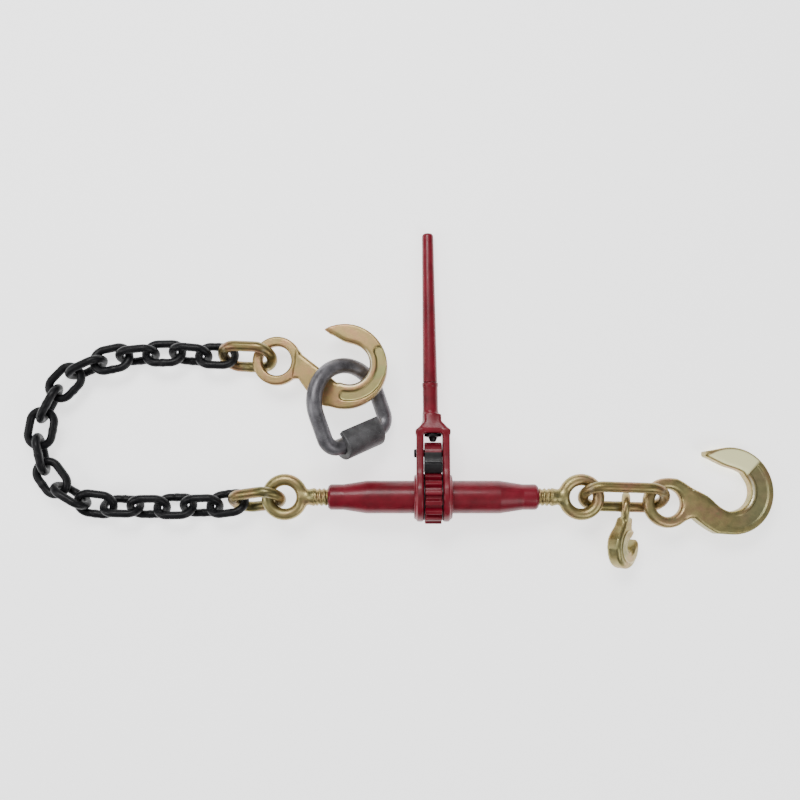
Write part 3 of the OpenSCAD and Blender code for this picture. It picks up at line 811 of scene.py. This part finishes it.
# Painted highlight: a lighter red ring along each hub's rounded rim, on the arms' outer faces.
marks[:, 2] = 0.5 * ramp(-np.abs(hub_edge - HUB_R + 1.4), -1.2, 0) * (np.abs(points[:, 0]) > 16)
new_piece("lever_fork_casting", placed(points, BINDER, lever_turn), faces, "lever", RED,
          ["lever_fork"], marks)

lean_turn = lever_turn @ turn(0, 0, HANDLE_LEAN) @ turn(-90, 0, 0)
handle_at = placed([(HANDLE_X, 0, 0)], BINDER, lever_turn)[0]
outline = [(0, SOCKET_END - 12), (5.95, SOCKET_END - 12), (5.95, SOCKET_END + 0.1), (7.9, SOCKET_END + 0.3),
           (8.2, SOCKET_END + 1.6), (6.5, LEVER_L - 2.4), (5.2, LEVER_L - 0.2), (4.2, LEVER_L),
           (3.4, LEVER_L - 0.6), (0, LEVER_L - 0.6)]
points, faces = lathe(rounded(outline, 1.6), 64)
new_piece("handle_bar", placed(points, handle_at, lean_turn), faces, "lever", RED, ["handle"])


def pawl_solid(x, y, z):
    """Rocking pawl across local X: a saddle over the wheel with a nose each side, scalloped on top."""
    wheel = WHEEL_D / 2
    top = PAWL_REACH + 4
    saddle = polygon(y, z, [(top, 11), (36, 14), (29, 11), (29, -11), (36, -14), (top, -11)])
    saddle = cut(saddle, disc(y, z, (0, 0), wheel + 4), 1)
    flat = join(disc(y, z, (PAWL_REACH, 0), 12.5), saddle, 2)
    for sign in (-1, 1):
        a = math.radians(sign * PAWL_THROW)
        py, pz = y - PAWL_REACH, z
        qy = PAWL_REACH + py * math.cos(a) + pz * math.sin(a)
        qz = -py * math.sin(a) + pz * math.cos(a)
        b = sign * -2 * math.pi / TEETH
        ry, rz = qy * math.cos(b) + qz * math.sin(b), -qy * math.sin(b) + qz * math.cos(b)
        deep = wheel - 2.7
        flat = join(flat, polygon(rz, ry, [(-1, deep), (1, deep), (2.9, deep + 6), (4, deep + 11),
                                           (-4, deep + 11), (-2.9, deep + 6)]), 0.8)
    for lean in (-24, 0, 24):
        a = math.radians(lean)
        flat = cut(flat, disc(y, z, (PAWL_REACH + 15.6 * math.cos(a), 15.6 * math.sin(a)), 3.6), 0.8)
    flat = np.maximum(flat, 4.1 - np.hypot(y - PAWL_REACH, z))
    return plate(flat, x, PAWL_W / 2, 0.8)


points, faces = skin(pawl_solid, (-10.6, 25, -20.5), (10.6, 63, 20.5), 0.45)
marks = np.zeros((len(points), 3), np.float32)
# Red above the pin's height, black below.
marks[:, 0] = ramp(points[:, 1], PAWL_REACH + 0.6, PAWL_REACH + 1.4)
new_piece("pawl_casting", placed(points, BINDER, lever_turn), faces, "pawl", PAWL, ["pawl"], marks)

across_lever = lever_turn @ np.array([[0, 0, 1], [0, 1, 0], [-1, 0, 0]], float)
pin_at = placed([(0, PAWL_REACH, 0)], BINDER, lever_turn)[0]
outline = [(0, -21.5), (3.9, -21.5), (4.8, -20.7), (4.8, -18.85), (3.98, -18.8), (3.98, 18.0), (3.3, 18.75),
           (0, 18.75)]
points, faces = lathe(rounded(outline, 0.5), 48)
new_piece("pawl_pin_look", placed(points, pin_at, across_lever), faces, "lever", OXIDE, ["pawl_pin"])

along_lever = lever_turn @ turn(-90, 0, 0)
nose, flange = PAWL_REACH + 12.8, WINDOW_TOP - 3.6
outline = [(0, nose), (2, nose), (3.4, nose + 0.8), (5, flange - 1), (9.7, flange), (9.7, WINDOW_TOP - 0.1),
           (4.5, WINDOW_TOP - 0.1), (4.5, WINDOW_TOP + 12), (0, WINDOW_TOP + 12)]
points, faces = lathe(rounded(outline, 0.7), 56)
new_piece("plunger_cap", placed(points, BINDER, along_lever), faces, "plunger", OXIDE, ["plunger"])

coils, coil_r, coil_pitch, wire_r = 11, 3.3, 1.9, 0.62
turns = np.linspace(0, coils, coils * 28)
coil = np.stack([coil_r * np.cos(2 * math.pi * turns), coil_r * np.sin(2 * math.pi * turns),
                 WINDOW_TOP + 13.2 + coil_pitch * turns], 1)
points, faces = tube(coil, wire_r, 10, closed=False)
points = placed(points, BINDER, along_lever)
new_piece("plunger_coil", points, faces, "plunger", STEEL, ["plunger_spring"])

for side, sign in (("left", -1), ("right", 1)):
    near = WHEEL_W / 2 + 0.15
    far = near + WASHER_T
    outline = [(WASHER_IN_R, near), (WASHER_OUT_R, near), (WASHER_OUT_R, far), (WASHER_IN_R, far),
               (WASHER_IN_R, near)]
    points, faces = lathe(rounded(outline, 0.3), 96)
    points = placed(along_x(points) * (sign, 1, 1), BINDER)
    new_piece("washer_look_" + side, points, faces, "washers", OXIDE, ["washer_" + side])


# ---------------------------------------------------------------- studio
def area_light(name, at, size, power):
    """A soft light that points at the middle of the floor."""
    light = bpy.data.lights.new(name, "AREA")
    light.shape = "RECTANGLE"
    light.size, light.size_y = size
    light.energy = power
    lamp = bpy.data.objects.new(name, light)
    bpy.context.scene.collection.objects.link(lamp)
    lamp.location = at
    lamp.rotation_euler = (-lamp.location).to_track_quat("-Z", "Y").to_euler()


def studio():
    """Grey surroundings, a white paper floor and three soft lights."""
    world = bpy.data.worlds.new("studio")
    world.use_nodes = True
    tree = world.node_tree
    split = tree.nodes.new("ShaderNodeSeparateXYZ")
    ramp_node = tree.nodes.new("ShaderNodeValToRGB")
    stops = ramp_node.color_ramp.elements
    stops[0].position, stops[0].color = 0.25, (0.07, 0.07, 0.075, 1)
    stops[1].position, stops[1].color = 0.95, (0.42, 0.42, 0.42, 1)
    middle = stops.new(0.62)
    middle.color = (0.30, 0.30, 0.31, 1)
    tree.links.new(tree.nodes.new("ShaderNodeTexCoord").outputs["Generated"], split.inputs["Vector"])
    tree.links.new(split.outputs["Z"], ramp_node.inputs["Fac"])
    tree.links.new(ramp_node.outputs["Color"], tree.nodes["Background"].inputs["Color"])
    tree.nodes["Background"].inputs["Strength"].default_value = 1.0
    bpy.context.scene.world = world
    paper = Shader("floor_paper", Roughness=0.9, Emission_Color=(1, 1, 1, 1), Emission_Strength=1.6)
    paper.colour(paper.ramp(paper.noise(3, 2), [(0.3, (0.93, 0.93, 0.935)), (0.7, (0.95, 0.95, 0.95))]))
    mesh = bpy.data.meshes.new("floor")
    wide, below = 4, -0.0005
    corners = [(-wide, -wide, below), (wide, -wide, below), (wide, wide, below), (-wide, wide, below)]
    mesh.from_pydata(corners, [], [(0, 1, 2, 3)])
    mesh.materials.append(paper.material)
    floor = bpy.data.objects.new("floor", mesh)
    bpy.context.scene.collection.objects.link(floor)
    area_light("key", (-0.3, 0.9, 1.3), (1.0, 0.5), 20)
    area_light("fill", (0.9, -0.8, 1.2), (0.8, 0.8), 8)
    area_light("side", (-1.3, -0.2, 0.9), (0.6, 0.9), 8)


def camera():
    """Looks straight down at the middle from 1050 mm."""
    lens = bpy.data.cameras.new("camera")
    lens.sensor_width = 36.0
    lens.lens = 40.84
    lens.clip_start = 0.01
    holder = bpy.data.objects.new("camera", lens)
    holder.location = (0, 0, 1.05)
    bpy.context.scene.collection.objects.link(holder)
    bpy.context.scene.camera = holder


studio()
camera()
